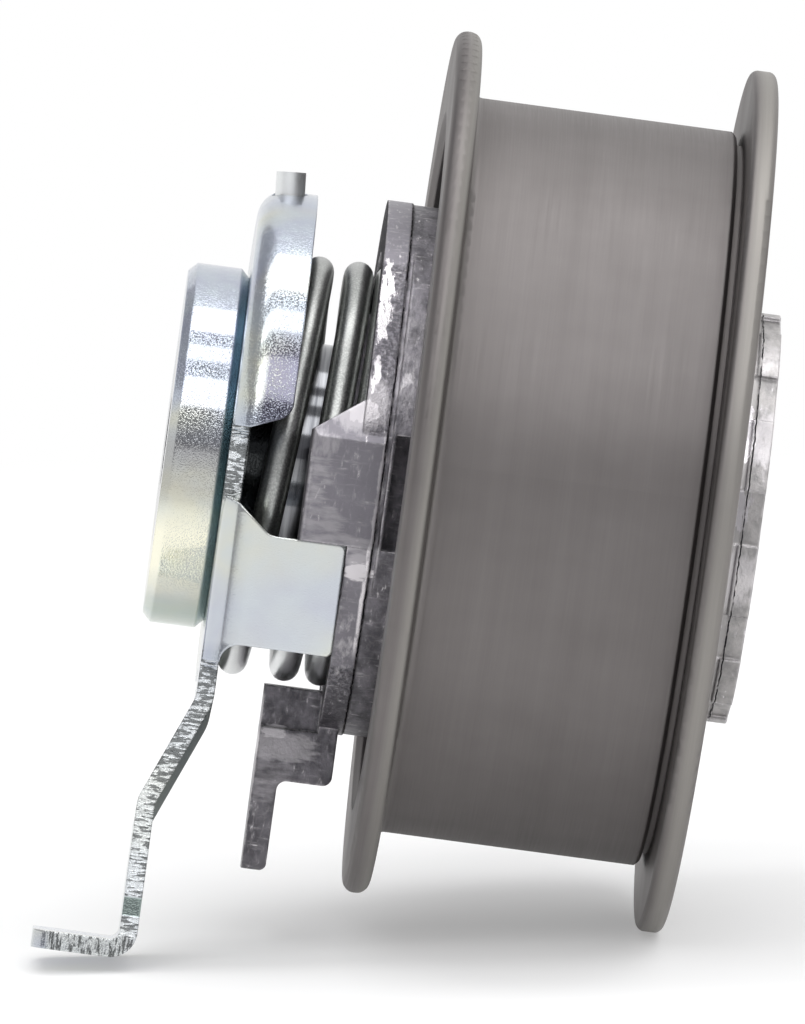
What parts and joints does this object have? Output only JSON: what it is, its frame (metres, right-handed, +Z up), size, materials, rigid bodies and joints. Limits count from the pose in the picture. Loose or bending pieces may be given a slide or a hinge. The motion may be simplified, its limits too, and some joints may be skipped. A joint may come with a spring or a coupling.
{
  "type": "timing belt tensioner pulley",
  "caption": "Automatic timing belt tensioner: flanged belt pulley on a spring-loaded eccentric lever, with a stop tab, a pointer and a hooked locating arm.",
  "frame": {"origin": "centre of the stud bore on the rear seat face", "axes": "+Y along the stud from the engine side to the front, +Z up, +X the side with the stop tab"},
  "size_m": [0.0827, 0.0631, 0.0913],
  "materials": {
    "zinc_plate": "bright zinc plated pressed steel with a faint iridescence",
    "spring_steel": "dark satin oiled spring wire",
    "die_cast": "as-cast grey alloy with burnished edges",
    "bush_bronze": "lined plain bearing strip",
    "washer_steel": "ground",
    "bearing_steel": "ground and polished bearing steel",
    "cage_nylon": "natural glass-filled nylon",
    "seal_rubber": "moulded",
    "turned_steel": "fine turned warm grey steel"
  },
  "bodies": {
    "adjuster": {"adjusting_eccentric": "die_cast", "seat_disc": "zinc_plate", "thrust_washer": "washer_steel"},
    "base": {"base_plate": "zinc_plate", "torsion_spring": "spring_steel"},
    "lever": {"tension_lever": "die_cast", "plain_bush": "bush_bronze", "bearing_inner_ring": "bearing_steel"},
    "pulley": {"pulley_shell": "turned_steel", "front_flange": "turned_steel", "bearing_outer_ring": "bearing_steel", "rear_seal": "seal_rubber", "front_seal": "seal_rubber"},
    "ball_set": {"ball_cage": "cage_nylon", "ball_01": "bearing_steel", "ball_02": "bearing_steel", "ball_03": "bearing_steel", "ball_04": "bearing_steel", "ball_05": "bearing_steel", "ball_06": "bearing_steel", "ball_07": "bearing_steel", "ball_08": "bearing_steel", "ball_09": "bearing_steel", "ball_10": "bearing_steel", "ball_11": "bearing_steel", "ball_12": "bearing_steel", "ball_13": "bearing_steel", "ball_14": "bearing_steel"}
  },
  "joints": [
    {"name": "base_turn", "type": "hinge", "parent": "adjuster", "child": "base", "pos_m": [-0.0036, 0, 0], "axis": [0, 1, 0], "continuous": true},
    {"name": "lever_swing", "type": "hinge", "parent": "base", "child": "lever", "pos_m": [-0.0036, 0, 0], "axis": [0, -1, 0], "range_deg": [0, 38], "stiffness_Nm_per_rad": 2, "springref_deg": -51.57, "deforming": ["torsion_spring"]},
    {"name": "pulley_spin", "type": "hinge", "parent": "lever", "child": "pulley", "pos_m": [0.00128, 0, 0.0011], "axis": [0, 1, 0], "continuous": true},
    {"name": "ball_orbit", "type": "hinge", "parent": "lever", "child": "ball_set", "pos_m": [0.00128, 0, 0.0011], "axis": [0, 1, 0], "continuous": true}
  ],
  "couplings": [
    {"joint": "ball_orbit", "follows": "pulley_spin", "ratio": 0.5623}
  ]
}
